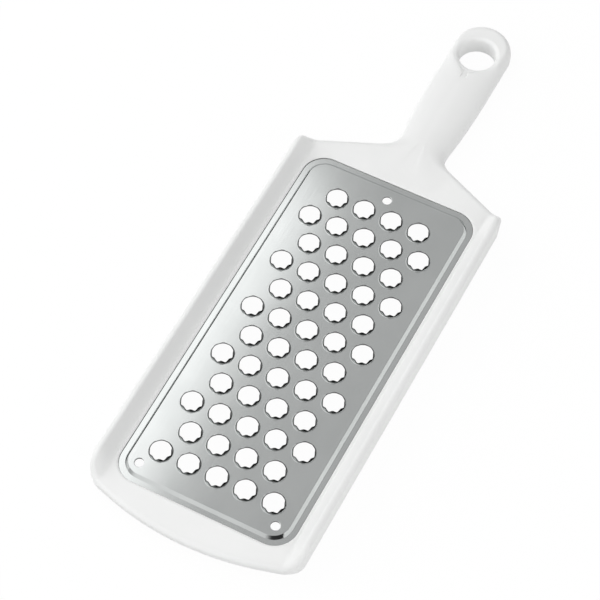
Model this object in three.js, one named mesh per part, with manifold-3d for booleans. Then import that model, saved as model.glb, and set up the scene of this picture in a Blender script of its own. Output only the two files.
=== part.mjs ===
// Flat hand grater. A white moulded frame with a long handle holds a stamped steel plate,
// and a back frame clamps the plate from below and closes the hollow shoulder and handle.
// Millimetres, +Z up, handle towards +Y, standing on the plane z = 0.
import * as THREE from 'three';
import { mergeVertices } from 'three/addons/utils/BufferGeometryUtils.js';
import Module from 'manifold-3d';

const wasm = await Module();
wasm.setup();

// Crowned holes of the plate, in rows that alternate between two counts
const HOLE_PITCH = 12;
const ROW_STEP = 12;
const ROW_COUNT = 12;
const HOLES_IN_FIRST_ROW = 5;
const HOLES_IN_SECOND_ROW = 4;
const CROWN_TEETH = 8;
const CROWN_BASE_RADIUS = 4.8;
const CROWN_RIM_RADIUS = 4.3;
const CROWN_WALL = 0.3;
const CROWN_HEIGHT = 1.25;
const CROWN_NOTCH_DEPTH = 1;

// Plain pilot holes of the plate, set in from the panel's edges: one near the handle, two near the lip
const PILOT_DIAMETER = 3.7;
const PILOT_FROM_HANDLE_END = 5.3;
const PILOT_FROM_LIP_END = 4.7;
const PILOT_FROM_SIDE = 5.2;

// Plate: raised panel round the holes, step and flange
const PLATE_THICKNESS = 0.6;
const PANEL_SIDE_MARGIN = 10;
const PANEL_HANDLE_MARGIN = 13.7;
const PANEL_LIP_MARGIN = 12.5;
const PANEL_CORNER = 6.8;
const PANEL_RISE = 1.25;
const STEP_RUN = 0.8;
const STEP_UNDERCUT = 0.4;
const FLANGE_HEIGHT = 8.6;
const FLANGE_SHOWING_SIDE = 2.5;
const FLANGE_SHOWING_LIP = 2.5;
const FLANGE_SHOWING_HANDLE = 2.5;
const FLANGE_GRIP = 4.5;

// Clearances between the pieces
const SEAT_GAP = 0.2;
const SIDE_GAP = 0.3;
const PIN_GAP = 0.3;

// Frame in plan, outwards from the window that shows the plate
const OVERALL_LENGTH = 269;
const RAIL_WIDTH = 7.2;
const LIP_DEPTH = 13.2;
const LIP_RADIUS = 120;
const LIP_CORNER = 9;
const SHOULDER_MARGIN = 3.9;
const SHOULDER_SLOPE = 0.431;
const SHOULDER_CORNER = 6;
const NECK_RADIUS = 9;
const NECK_FROM_SHOULDER = 18.1;
const NECK_WIDTH = 20.4;
const NECK_FLARE = 0.09;
const HANDLE_WIDTH = 24.8;
const HANDLE_END_LENGTH = 32;
const HANG_HOLE_FROM_TIP = 16.5;
const HANG_HOLE_DIAMETER = 15.4;

// Frame in height
const FACE_HEIGHT = 9.4;
const RAIL_HEIGHT = 15.1;
const LIP_THICKNESS = 4.4;
const HANDLE_CROWN = 0.8;
const TAPER_FROM_LIP = 4;
const RAIL_TAPER_LENGTH = 15;
const SKIRT_TAPER_LENGTH = 12;
const RAIL_END_BEFORE_SHOULDER = 8;
const RAIL_END_LENGTH = 8.6;

// Rounded edges of the frame: inset in plan, drop at the top, lift at the bottom
const LIP_EDGE_INSET = 2.2;
const LIP_EDGE_DROP = 1.6;
const LIP_EDGE_LIFT = 1.2;
const RAIL_EDGE_INSET = 1.5;
const RAIL_EDGE_DROP = 2.4;
const RAIL_EDGE_LIFT = 0.8;
const SHOULDER_EDGE_INSET = 2.2;
const SHOULDER_EDGE_DROP = 2;
const SHOULDER_EDGE_LIFT = 1.5;
const HANDLE_EDGE_INSET = 4.2;
const HANDLE_EDGE_DROP = 4;
const HANDLE_EDGE_LIFT = 3.6;
const TIP_ROUND_SHARE = 0.55;
const HOLE_ROUND_SHARE = 0.38;
const WINDOW_EDGE_INSET = 1;
const WINDOW_EDGE_RISE = 0.3;

// Back frame: ring under the flange, wall and cover under the shoulder and handle
const RING_THICKNESS = 2.4;
const RING_SETBACK = 0.4;
const WALL_THICKNESS = 2.4;
const COVER_THICKNESS = 2.4;
const COVER_RIM = 5.2;
const COVER_LEDGE = 1.2;
const COVER_END_MARGIN = 4;
const ROOF_THICKNESS = 2.5;

// Stake pins of the front frame, through the flange and the ring, and through the cover
const PIN_DIAMETER = 2.2;
const PIN_HEAD_DIAMETER = 3.6;
const PIN_HEAD_HEIGHT = 0.8;
const PIN_ROOT = 0.5;
const PINS_PER_SIDE = 4;
const PIN_SPACING_SIDE = 40;
const PIN_SPACING_END = 40;
const COVER_PIN_FROM_END = 12;

// How finely the curves are divided
const CROWN_SIDES = CROWN_TEETH * 2;
const SMALL_SIDES = 12;
const CORNER_STEPS = 5;
const LIP_STEPS = 5;
const END_STEPS = 3;
const SLOPE_STEPS = 4;
const NECK_STEPS = 4;
const NECK_HALF_STEPS = 4;
const HANDLE_STEPS = 5;
const CHEEK_STEPS = 3;
const TIP_STEPS = 8;
const SIDE_SHARES = [0, 0.02, 0.06, 0.2, 0.4, 0.6, 0.8];
const SLOPE_FIRST = LIP_STEPS + CORNER_STEPS + SIDE_SHARES.length + END_STEPS + CORNER_STEPS;
const EDGE_ROWS = [0, 0.15, 0.5, 1];
const SLOPE_ROWS = [0.25, 0.5, 0.75];

// Heights and places that follow from the sizes above
const PANEL_TOP = FLANGE_HEIGHT + PANEL_RISE;
const BEZEL_UNDER = FLANGE_HEIGHT + SEAT_GAP;
const RING_TOP = FLANGE_HEIGHT - PLATE_THICKNESS - SEAT_GAP;
const RING_BOTTOM = RING_TOP - RING_THICKNESS;
const LIP_BOTTOM = FACE_HEIGHT - LIP_THICKNESS;
const ROOF = FACE_HEIGHT - ROOF_THICKNESS;
const CUT_START = -1;
const HANG_RIM = (HANDLE_WIDTH - HANG_HOLE_DIAMETER) / 2;
const TIP_EDGE_INSET = HANG_RIM * TIP_ROUND_SHARE;
const HOLE_EDGE_INSET = HANG_RIM * HOLE_ROUND_SHARE;
const LAST_ROW_Y = (ROW_STEP * (ROW_COUNT - 1)) / 2;
const PANEL = {
  x: (HOLE_PITCH * (HOLES_IN_FIRST_ROW - 1)) / 2 + PANEL_SIDE_MARGIN,
  low: -LAST_ROW_Y - PANEL_LIP_MARGIN,
  high: LAST_ROW_Y + PANEL_HANDLE_MARGIN,
  corner: PANEL_CORNER,
};
const WINDOW = {
  x: PANEL.x + STEP_RUN + FLANGE_SHOWING_SIDE,
  low: PANEL.low - STEP_RUN - FLANGE_SHOWING_LIP,
  high: PANEL.high + STEP_RUN + FLANGE_SHOWING_HANDLE,
  corner: PANEL_CORNER + FLANGE_SHOWING_SIDE,
};
const HALF_WIDTH = WINDOW.x + RAIL_WIDTH;
const LIP_REACH = LIP_DEPTH - WINDOW.low;
const SHOULDER_SIDE_Y = WINDOW.high + SHOULDER_MARGIN;
const NECK_Y = SHOULDER_SIDE_Y + NECK_FROM_SHOULDER;
const TIP_REACH = OVERALL_LENGTH - LIP_REACH;
const HANDLE_WIDE_Y = TIP_REACH - HANDLE_END_LENGTH;
const HANG_HOLE_Y = TIP_REACH - HANG_HOLE_FROM_TIP;
const COVER_END_Y = HANDLE_WIDE_Y - COVER_END_MARGIN;
const TAPER_END_Y = TAPER_FROM_LIP - LIP_REACH;
const RAIL_END_START = SHOULDER_SIDE_Y - RAIL_END_BEFORE_SHOULDER;
const WALL_Y = WINDOW.high + FLANGE_GRIP + SIDE_GAP;
const PIN_OUT = (RING_SETBACK + FLANGE_GRIP) / 2;

const plastic = new THREE.MeshStandardMaterial({ color: 0xf3f4f3, roughness: 0.35, metalness: 0 });
const steel = new THREE.MeshStandardMaterial({ color: 0xb9bdbb, roughness: 0.28, metalness: 1 });

// Curves in plan, each without its last point, so that they can be chained
function line(a, b, steps) {
  return Array.from({ length: steps }, (_, i) => new THREE.Vector2().lerpVectors(a, b, i / steps));
}

function pointsAlong(a, b, shares) {
  return shares.map((share) => new THREE.Vector2().lerpVectors(a, b, share));
}

function arc(centre, radius, from, to, steps) {
  return Array.from({ length: steps }, (_, i) => {
    const angle = THREE.MathUtils.lerp(from, to, i / steps);
    return new THREE.Vector2(Math.cos(angle), Math.sin(angle)).multiplyScalar(radius).add(centre);
  });
}

function circle(x, y, radius, sides) {
  return arc(new THREE.Vector2(x, y), radius, 0, 2 * Math.PI, sides);
}

function mirrored(points) {
  return points.map((p) => new THREE.Vector2(-p.x, p.y)).reverse();
}

function smooth(t) {
  return THREE.MathUtils.smoothstep(t, 0, 1);
}

// A rectangle with round corners, grown by a margin, anticlockwise from its lower right corner
function roundedRectangle(rect, margin) {
  const radius = rect.corner + margin;
  const x = rect.x + margin - radius;
  const low = rect.low - margin + radius;
  const high = rect.high + margin - radius;
  const quarter = Math.PI / 2;
  const centres = [[x, low], [x, high], [-x, high], [-x, low]];
  return centres.flatMap(([cx, cy], i) => {
    const centre = new THREE.Vector2(cx, cy);
    const from = (i - 1) * quarter;
    const past = from + quarter * (1 + 1 / CORNER_STEPS);
    return arc(centre, radius, from, past, CORNER_STEPS + 1);
  });
}

// Solids: closed geometry in, joined and cut, and geometry out again
function toSolid(geometry) {
  geometry.deleteAttribute('normal');
  geometry.deleteAttribute('uv');
  const merged = mergeVertices(geometry);
  const vertProperties = new Float32Array(merged.attributes.position.array);
  const triVerts = new Uint32Array(merged.index.array);
  return new wasm.Manifold(new wasm.Mesh({ numProp: 3, vertProperties, triVerts }));
}

function indexedGeometry(positions, faces) {
  const geometry = new THREE.BufferGeometry();
  geometry.setAttribute('position', new THREE.Float32BufferAttribute(positions, 3));
  geometry.setIndex(faces);
  return geometry;
}

function namedMesh(name, solid, material) {
  const { vertProperties, triVerts } = solid.getMesh();
  const geometry = indexedGeometry(Array.from(vertProperties), Array.from(triVerts));
  geometry.computeVertexNormals();
  const mesh = new THREE.Mesh(geometry, material);
  mesh.name = name;
  return mesh;
}

function prism(points, low, high) {
  const options = { depth: high - low, bevelEnabled: false };
  const geometry = new THREE.ExtrudeGeometry(new THREE.Shape(points), options);
  return toSolid(geometry.translate(0, 0, low));
}

function rod(x, y, diameter, low, high) {
  return prism(circle(x, y, diameter / 2, SMALL_SIDES), low, high);
}

// Outline of the frame: half of it from the middle of the lip to the tip of the handle.
// Each station has a point and the heights and rounding of the edge there.
function edge(top, drop, inset, bottom, lift) {
  return { top, drop, inset, bottom, lift };
}

function mixEdges(a, b, topShare, bottomShare) {
  const mix = THREE.MathUtils.lerp;
  return {
    top: mix(a.top, b.top, topShare),
    drop: mix(a.drop, b.drop, topShare),
    inset: mix(a.inset, b.inset, topShare),
    bottom: mix(a.bottom, b.bottom, bottomShare),
    lift: mix(a.lift, b.lift, bottomShare),
  };
}

const LIP_EDGE = edge(FACE_HEIGHT, LIP_EDGE_DROP, LIP_EDGE_INSET, LIP_BOTTOM, LIP_EDGE_LIFT);
const RAIL_EDGE = edge(RAIL_HEIGHT, RAIL_EDGE_DROP, RAIL_EDGE_INSET, 0, RAIL_EDGE_LIFT);
const SHOULDER_EDGE = edge(FACE_HEIGHT, SHOULDER_EDGE_DROP, SHOULDER_EDGE_INSET, 0, SHOULDER_EDGE_LIFT);
const HANDLE_EDGE = edge(FACE_HEIGHT, HANDLE_EDGE_DROP, HANDLE_EDGE_INSET, 0, HANDLE_EDGE_LIFT);
const TIP_EDGE = edge(FACE_HEIGHT, HANDLE_EDGE_DROP, TIP_EDGE_INSET, 0, HANDLE_EDGE_LIFT);

function lipToRail(point) {
  const rise = smooth((point.y - TAPER_END_Y) / RAIL_TAPER_LENGTH);
  const fall = smooth((point.y - TAPER_END_Y) / SKIRT_TAPER_LENGTH);
  return mixEdges(LIP_EDGE, RAIL_EDGE, rise, fall);
}

// Middle of the lip, round lip corner and the side up to the round end of the rail
function lipStations() {
  const centre = new THREE.Vector2(0, LIP_RADIUS - LIP_REACH);
  const x = HALF_WIDTH - LIP_CORNER;
  const corner = new THREE.Vector2(x, centre.y - Math.sqrt((LIP_RADIUS - LIP_CORNER) ** 2 - x ** 2));
  const turn = Math.atan2(corner.y - centre.y, x);
  const start = new THREE.Vector2(HALF_WIDTH, corner.y);
  const end = new THREE.Vector2(HALF_WIDTH, RAIL_END_START);
  const points = [
    ...arc(centre, LIP_RADIUS, -Math.PI / 2, turn, LIP_STEPS),
    ...arc(corner, LIP_CORNER, turn, 0, CORNER_STEPS),
    ...pointsAlong(start, end, SIDE_SHARES),
  ];
  return points.map((point) => ({ point, edge: lipToRail(point) }));
}

// Hollow fillet between the sloping shoulder and the handle
function neckFillet() {
  const slope = Math.atan(SHOULDER_SLOPE);
  const turn = Math.PI / 2 - slope + Math.atan(NECK_FLARE);
  const slopeAtMiddle = SHOULDER_SIDE_Y + SHOULDER_SLOPE * HALF_WIDTH;
  const halfAtMiddle = NECK_WIDTH / 2 + NECK_FLARE * (slopeAtMiddle - NECK_Y);
  const meetX = halfAtMiddle / (1 + NECK_FLARE * SHOULDER_SLOPE);
  const meet = new THREE.Vector2(meetX, slopeAtMiddle - SHOULDER_SLOPE * meetX);
  const reach = NECK_RADIUS * Math.tan(turn / 2);
  const start = meet.clone().add(new THREE.Vector2(1, -SHOULDER_SLOPE).setLength(reach));
  const end = meet.clone().add(new THREE.Vector2(NECK_FLARE, 1).setLength(reach));
  const centre = start.clone().add(new THREE.Vector2(SHOULDER_SLOPE, 1).setLength(NECK_RADIUS));
  const from = -Math.PI / 2 - slope;
  return { start, end, points: arc(centre, NECK_RADIUS, from, from - turn, NECK_STEPS) };
}

// The rail ends in a round shoulder before the frame's own corner
function railToShoulder(point) {
  const t = THREE.MathUtils.clamp((point.y - RAIL_END_START) / RAIL_END_LENGTH, 0, 1);
  return mixEdges(RAIL_EDGE, SHOULDER_EDGE, 1 - Math.sqrt(1 - t ** 2), smooth(t));
}

// Round end of the rail, round shoulder corner, sloping shoulder and hollow neck
function shoulderStations(neck) {
  const turn = Math.PI / 2 - Math.atan(SHOULDER_SLOPE);
  const cornerY = SHOULDER_SIDE_Y - SHOULDER_CORNER * Math.tan(turn / 2);
  const corner = new THREE.Vector2(HALF_WIDTH - SHOULDER_CORNER, cornerY);
  const slopeStart = corner.clone().add(new THREE.Vector2(SHOULDER_SLOPE, 1).setLength(SHOULDER_CORNER));
  const railEnd = new THREE.Vector2(HALF_WIDTH, RAIL_END_START);
  const rail = [
    ...line(railEnd, new THREE.Vector2(HALF_WIDTH, cornerY), END_STEPS),
    ...arc(corner, SHOULDER_CORNER, 0, turn, CORNER_STEPS),
  ];
  const sloping = line(slopeStart, neck.start, SLOPE_STEPS);
  return [
    ...rail.map((point) => ({ point, edge: railToShoulder(point) })),
    ...sloping.map((point) => ({ point, edge: SHOULDER_EDGE })),
    ...neck.points.map((point, i) => {
      const share = smooth(i / NECK_STEPS);
      return { point, edge: mixEdges(SHOULDER_EDGE, HANDLE_EDGE, share, share) };
    }),
  ];
}

// Handle from the neck to the last point before the tip, swelling along a curve
function handleStations(neckEnd) {
  const radius = HANDLE_WIDTH / 2;
  const wide = new THREE.Vector2(radius, HANDLE_WIDE_Y);
  const cheekEnd = new THREE.Vector2(radius, TIP_REACH - radius);
  const swell = new THREE.Vector2(radius, (neckEnd.y + HANDLE_WIDE_Y) / 2);
  const side = new THREE.QuadraticBezierCurve(neckEnd, swell, wide).getPoints(HANDLE_STEPS).slice(0, -1);
  const tip = new THREE.Vector2(0, cheekEnd.y);
  const points = [
    ...side,
    ...line(wide, cheekEnd, CHEEK_STEPS),
    ...arc(tip, radius, 0, Math.PI / 2, TIP_STEPS),
  ];
  return points.map((point, i) => {
    const share = smooth(i / HANDLE_STEPS);
    return { point, edge: mixEdges(HANDLE_EDGE, TIP_EDGE, share, share) };
  });
}

function frameStations() {
  const neck = neckFillet();
  const half = [...lipStations(), ...shoulderStations(neck), ...handleStations(neck.end)];
  const tip = { point: new THREE.Vector2(0, TIP_REACH), edge: TIP_EDGE };
  const turned = half.slice(1).reverse();
  const other = turned.map((s) => ({ point: new THREE.Vector2(-s.point.x, s.point.y), edge: s.edge }));
  const stations = [...half, tip, ...other];
  const at = (i) => stations[(i + stations.length) % stations.length].point;
  stations.forEach((station, i) => {
    const along = new THREE.Vector2().subVectors(at(i + 1), at(i - 1)).normalize();
    station.inward = new THREE.Vector2(-along.y, along.x);
  });
  return stations;
}

// A slab drawn as quads in plan, each corner with a top and a bottom height
class Slab {
  constructor() {
    this.corners = [];
    this.quads = [];
  }

  corner(point, top, bottom) {
    this.corners.push({ point, top, bottom });
    return this.corners.length - 1;
  }

  // Quads between two rows of corners, the first row on the right of the second
  bridge(first, second, closed) {
    const count = closed ? first.length : first.length - 1;
    for (let i = 0; i < count; i += 1) {
      const next = (i + 1) % first.length;
      this.quads.push([first[i], first[next], second[next], second[i]]);
    }
  }

  solid() {
    const positions = this.corners.flatMap(({ point: { x, y }, top, bottom }) => [x, y, top, x, y, bottom]);
    const faces = [];
    const edges = new Set();
    this.quads.forEach(([a, b, c, d]) => {
      faces.push(2 * a, 2 * b, 2 * c, 2 * a, 2 * c, 2 * d);
      faces.push(2 * a + 1, 2 * c + 1, 2 * b + 1, 2 * a + 1, 2 * d + 1, 2 * c + 1);
      [[a, b], [b, c], [c, d], [d, a]].forEach((pair) => edges.add(pair.join()));
    });
    edges.forEach((key) => {
      const [a, b] = key.split(',').map(Number);
      if (!edges.has([b, a].join())) {
        faces.push(2 * b, 2 * a, 2 * a + 1, 2 * b, 2 * a + 1, 2 * b + 1);
      }
    });
    return toSolid(indexedGeometry(positions, faces));
  }
}

function roundOff(share) {
  return 1 - Math.sqrt(1 - (1 - share) ** 2);
}

// Points round the window that face the outline's stations, from the middle of the lip
function windowPoints() {
  const { x, low, high, corner } = WINDOW;
  const quarter = Math.PI / 2;
  const lower = new THREE.Vector2(x - corner, low + corner);
  const upper = new THREE.Vector2(x - corner, high - corner);
  const middle = new THREE.Vector2(0, high);
  const half = [
    ...line(new THREE.Vector2(0, low), new THREE.Vector2(lower.x, low), LIP_STEPS),
    ...arc(lower, corner, -quarter, 0, CORNER_STEPS),
    ...pointsAlong(new THREE.Vector2(x, lower.y), new THREE.Vector2(x, upper.y), SIDE_SHARES),
    ...arc(upper, corner, 0, quarter, END_STEPS + CORNER_STEPS),
    ...line(new THREE.Vector2(upper.x, high), middle, SLOPE_STEPS + NECK_STEPS + NECK_HALF_STEPS),
  ];
  return [...half, middle, ...mirrored(half.slice(1))];
}

// Corners across the handle between two stations, bulging in the middle
function rowAcross(slab, right, left) {
  const a = slab.corners[right];
  const b = slab.corners[left];
  const steps = 2 * NECK_HALF_STEPS;
  const row = [right];
  for (let i = 1; i < steps; i += 1) {
    const side = 2 * (i / steps) - 1;
    const point = new THREE.Vector2().lerpVectors(a.point, b.point, i / steps);
    row.push(slab.corner(point, FACE_HEIGHT + HANDLE_CROWN * (1 - side ** 2), a.bottom));
  }
  return [...row, left];
}

// Ring of corners at a distance outside the window, matched to the outline
function windowRing(slab, outer, margin, rise) {
  const points = windowPoints();
  return points.map((point, i) => {
    const x = THREE.MathUtils.clamp(point.x, -WINDOW.x + WINDOW.corner, WINDOW.x - WINDOW.corner);
    const y = THREE.MathUtils.clamp(point.y, WINDOW.low + WINDOW.corner, WINDOW.high - WINDOW.corner);
    const away = new THREE.Vector2(point.x - x, point.y - y).normalize();
    const place = point.clone().addScaledVector(away, margin);
    return slab.corner(place, rise, slab.corners[outer[i]].bottom);
  });
}

function frameBlank() {
  const slab = new Slab();
  const stations = frameStations();
  const rows = EDGE_ROWS.map((share) => stations.map(({ point, edge: e, inward }) => {
    const place = point.clone().addScaledVector(inward, e.inset * share);
    return slab.corner(place, e.top - e.drop * roundOff(share), e.bottom + e.lift * roundOff(share));
  }));
  rows.slice(1).forEach((row, i) => slab.bridge(rows[i], row, true));
  const inner = rows[rows.length - 1];

  const neck = SLOPE_FIRST + SLOPE_STEPS + NECK_STEPS;
  const opposite = (i) => (stations.length - i) % stations.length;
  const across = [];
  for (let i = neck; i <= neck + HANDLE_STEPS; i += 1) {
    across.push(rowAcross(slab, inner[i], inner[opposite(i)]));
  }
  across.slice(1).forEach((row, i) => {
    for (let k = 0; k < row.length - 1; k += 1) {
      slab.quads.push([across[i][k], row[k], row[k + 1], across[i][k + 1]]);
    }
  });

  const ringOuter = [...inner.slice(0, neck), ...across[0], ...inner.slice(opposite(neck) + 1)];
  const ringInner = windowRing(slab, ringOuter, WINDOW_EDGE_INSET, FACE_HEIGHT);
  const windowEdge = windowRing(slab, ringOuter, 0, BEZEL_UNDER + WINDOW_EDGE_RISE);
  const slopes = SLOPE_ROWS.map((share) => ringOuter.map((id, i) => {
    const a = slab.corners[id];
    const b = slab.corners[ringInner[i]];
    const point = new THREE.Vector2().lerpVectors(a.point, b.point, share);
    return slab.corner(point, THREE.MathUtils.lerp(a.top, b.top, smooth(share)), a.bottom);
  }));
  const ringRows = [ringOuter, ...slopes, ringInner, windowEdge];
  ringRows.slice(1).forEach((row, i) => slab.bridge(ringRows[i], row, true));

  const last = across[across.length - 1];
  const wide = neck + HANDLE_STEPS;
  const around = [...inner.slice(wide, opposite(wide)), ...last.slice(1).reverse()];
  const holeRing = (share) => around.map((id) => {
    const { point, bottom } = slab.corners[id];
    const angle = Math.atan2(point.y - HANG_HOLE_Y, point.x);
    const radius = HANG_HOLE_DIAMETER / 2 + HOLE_EDGE_INSET * share;
    const place = new THREE.Vector2(radius * Math.cos(angle), HANG_HOLE_Y + radius * Math.sin(angle));
    const round = HOLE_EDGE_INSET * roundOff(share);
    return slab.corner(place, FACE_HEIGHT - round, bottom + round);
  });
  const holeRows = [around, ...[...EDGE_ROWS].reverse().map(holeRing)];
  holeRows.slice(1).forEach((row, i) => slab.bridge(holeRows[i], row, true));
  return slab.solid();
}

// Outline of the cover under the shoulder and handle, inside the frame's outline by a rim
function coverOutline(rim, startY) {
  const stations = frameStations();
  const inset = stations.slice(SLOPE_FIRST).map((s) => s.point.clone().addScaledVector(s.inward, rim));
  const kept = inset.filter((p) => p.x > 0 && p.y > startY && p.y < COVER_END_Y);
  const before = inset[inset.indexOf(kept[0]) - 1] ?? inset[0];
  const share = (startY - before.y) / (kept[0].y - before.y);
  const start = new THREE.Vector2().lerpVectors(before, kept[0], share);
  const endRadius = kept[kept.length - 1].x;
  const end = arc(new THREE.Vector2(0, COVER_END_Y), endRadius, 0, Math.PI / 2, CORNER_STEPS);
  const half = [start, ...kept, ...end];
  return [...half, new THREE.Vector2(0, COVER_END_Y + endRadius), ...mirrored(half)];
}

function wallOutline(gap) {
  const reach = coverOutline(COVER_RIM - gap, WALL_Y - gap)[0].x;
  const low = WALL_Y - 2 * SIDE_GAP - gap;
  const high = WALL_Y + WALL_THICKNESS + gap;
  const corners = [[reach, low], [reach, high], [-reach, high], [-reach, low]];
  return corners.map(([x, y]) => new THREE.Vector2(x, y));
}

// Places of the stake pins: along the ring, and in the cover
function ringPins() {
  const places = [];
  for (let i = 0; i < PINS_PER_SIDE; i += 1) {
    const y = (i - (PINS_PER_SIDE - 1) / 2) * PIN_SPACING_SIDE;
    places.push([WINDOW.x + PIN_OUT, y], [-WINDOW.x - PIN_OUT, y]);
  }
  [-PIN_SPACING_END / 2, PIN_SPACING_END / 2].forEach((x) => {
    places.push([x, WINDOW.low - PIN_OUT], [x, WINDOW.high + PIN_OUT]);
  });
  return places;
}

function coverPins() {
  return [[0, NECK_Y], [0, COVER_END_Y - COVER_PIN_FROM_END]];
}

function ringPin([x, y]) {
  const headTop = RING_BOTTOM - SEAT_GAP;
  const shaft = rod(x, y, PIN_DIAMETER, headTop - PIN_HEAD_HEIGHT / 2, BEZEL_UNDER + PIN_ROOT);
  return shaft.add(rod(x, y, PIN_HEAD_DIAMETER, headTop - PIN_HEAD_HEIGHT, headTop));
}

// A pin of the cover has its head sunk in the cover's underside
function coverPin([x, y]) {
  const headBottom = SEAT_GAP;
  const shaft = rod(x, y, PIN_DIAMETER, headBottom + PIN_HEAD_HEIGHT / 2, ROOF + PIN_ROOT);
  return shaft.add(rod(x, y, PIN_HEAD_DIAMETER, headBottom, headBottom + PIN_HEAD_HEIGHT));
}

function makeFrontFrame() {
  const recess = coverOutline(COVER_RIM - SIDE_GAP, WALL_Y - SIDE_GAP);
  const cavity = coverOutline(COVER_RIM + COVER_LEDGE, WALL_Y + WALL_THICKNESS + SIDE_GAP);
  let frame = frameBlank()
    .subtract(prism(roundedRectangle(WINDOW, FLANGE_GRIP + SIDE_GAP), CUT_START, BEZEL_UNDER))
    .subtract(prism(wallOutline(SIDE_GAP), CUT_START, RING_TOP + SIDE_GAP))
    .subtract(prism(recess, CUT_START, COVER_THICKNESS + SEAT_GAP))
    .subtract(prism(cavity, CUT_START, ROOF));
  ringPins().forEach((place) => {
    frame = frame.add(ringPin(place));
  });
  coverPins().forEach((place) => {
    frame = frame.add(coverPin(place));
  });
  return namedMesh('front_frame', frame, plastic);
}

function makeBackFrame() {
  const hole = PIN_DIAMETER + 2 * PIN_GAP;
  const sunk = PIN_HEAD_DIAMETER + 2 * PIN_GAP;
  const sunkTop = PIN_HEAD_HEIGHT + 2 * SEAT_GAP;
  let frame = prism(roundedRectangle(WINDOW, FLANGE_GRIP), RING_BOTTOM, RING_TOP)
    .subtract(prism(roundedRectangle(WINDOW, RING_SETBACK), CUT_START, FACE_HEIGHT))
    .add(prism(wallOutline(0), 0, RING_TOP))
    .add(prism(coverOutline(COVER_RIM, WALL_Y), 0, COVER_THICKNESS));
  ringPins().forEach(([x, y]) => {
    frame = frame.subtract(rod(x, y, hole, CUT_START, FACE_HEIGHT));
    frame = frame.subtract(rod(x, y, sunk, CUT_START, RING_BOTTOM));
  });
  coverPins().forEach(([x, y]) => {
    frame = frame.subtract(rod(x, y, hole, CUT_START, FACE_HEIGHT));
    frame = frame.subtract(rod(x, y, sunk, CUT_START, sunkTop));
  });
  return namedMesh('back_frame', frame, plastic);
}

// Places of the crowned holes, the first row nearest the lip
function crownPlaces() {
  const places = [];
  for (let row = 0; row < ROW_COUNT; row += 1) {
    const count = row % 2 === 0 ? HOLES_IN_FIRST_ROW : HOLES_IN_SECOND_ROW;
    for (let i = 0; i < count; i += 1) {
      const x = (i - (count - 1) / 2) * HOLE_PITCH;
      const y = row * ROW_STEP - LAST_ROW_Y;
      places.push([x, y]);
    }
  }
  return places;
}

function pilotPlaces() {
  const x = PANEL.x - PILOT_FROM_SIDE;
  const y = PANEL.low + PILOT_FROM_LIP_END;
  return [[0, PANEL.high - PILOT_FROM_HANDLE_END], [x, y], [-x, y]];
}

// The plate as one skin: rings of points joined by strips, and two sheets with holes
class Skin {
  constructor() {
    this.positions = [];
    this.faces = [];
  }

  ring(points, height) {
    return points.map((p, i) => {
      const z = typeof height === 'function' ? height(i) : height;
      this.positions.push(p.x, p.y, z);
      return this.positions.length / 3 - 1;
    });
  }

  // Strip from an inner ring to the next one, seen from above
  strip(inner, outer) {
    inner.forEach((a, i) => {
      const next = (i + 1) % inner.length;
      this.faces.push(inner[next], a, outer[i], inner[next], outer[i], outer[next]);
    });
  }

  chain(rings) {
    rings.slice(1).forEach((ring, i) => this.strip(rings[i], ring));
  }

  sheet(contour, holes, facingUp) {
    const ids = [...contour, ...holes.flat()];
    const point = (id) => new THREE.Vector2(this.positions[3 * id], this.positions[3 * id + 1]);
    const openings = holes.map((hole) => hole.map(point));
    const triangles = THREE.ShapeUtils.triangulateShape(contour.map(point), openings);
    triangles.forEach((triangle) => {
      const [a, b, c] = triangle.map((i) => ids[i]);
      const up = THREE.ShapeUtils.area([point(a), point(b), point(c)]) > 0;
      this.faces.push(...(up === facingUp ? [a, b, c] : [a, c, b]));
    });
  }
}

function crownRings(skin, [x, y]) {
  const base = circle(x, y, CROWN_BASE_RADIUS, CROWN_SIDES);
  const rim = circle(x, y, CROWN_RIM_RADIUS, CROWN_SIDES);
  const bore = circle(x, y, CROWN_RIM_RADIUS - CROWN_WALL, CROWN_SIDES);
  const tooth = (i) => PANEL_TOP + CROWN_HEIGHT - (i % 2 === 0 ? CROWN_NOTCH_DEPTH : 0);
  const under = skin.ring(bore, PANEL_TOP - PLATE_THICKNESS);
  const top = skin.ring(base, PANEL_TOP);
  skin.chain([under, skin.ring(bore, tooth), skin.ring(rim, tooth), top]);
  return { top, under };
}

function pilotRings(skin, [x, y]) {
  const outline = circle(x, y, PILOT_DIAMETER / 2, SMALL_SIDES);
  const under = skin.ring(outline, PANEL_TOP - PLATE_THICKNESS);
  const top = skin.ring(outline, PANEL_TOP);
  skin.chain([under, top]);
  return { top, under };
}

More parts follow.
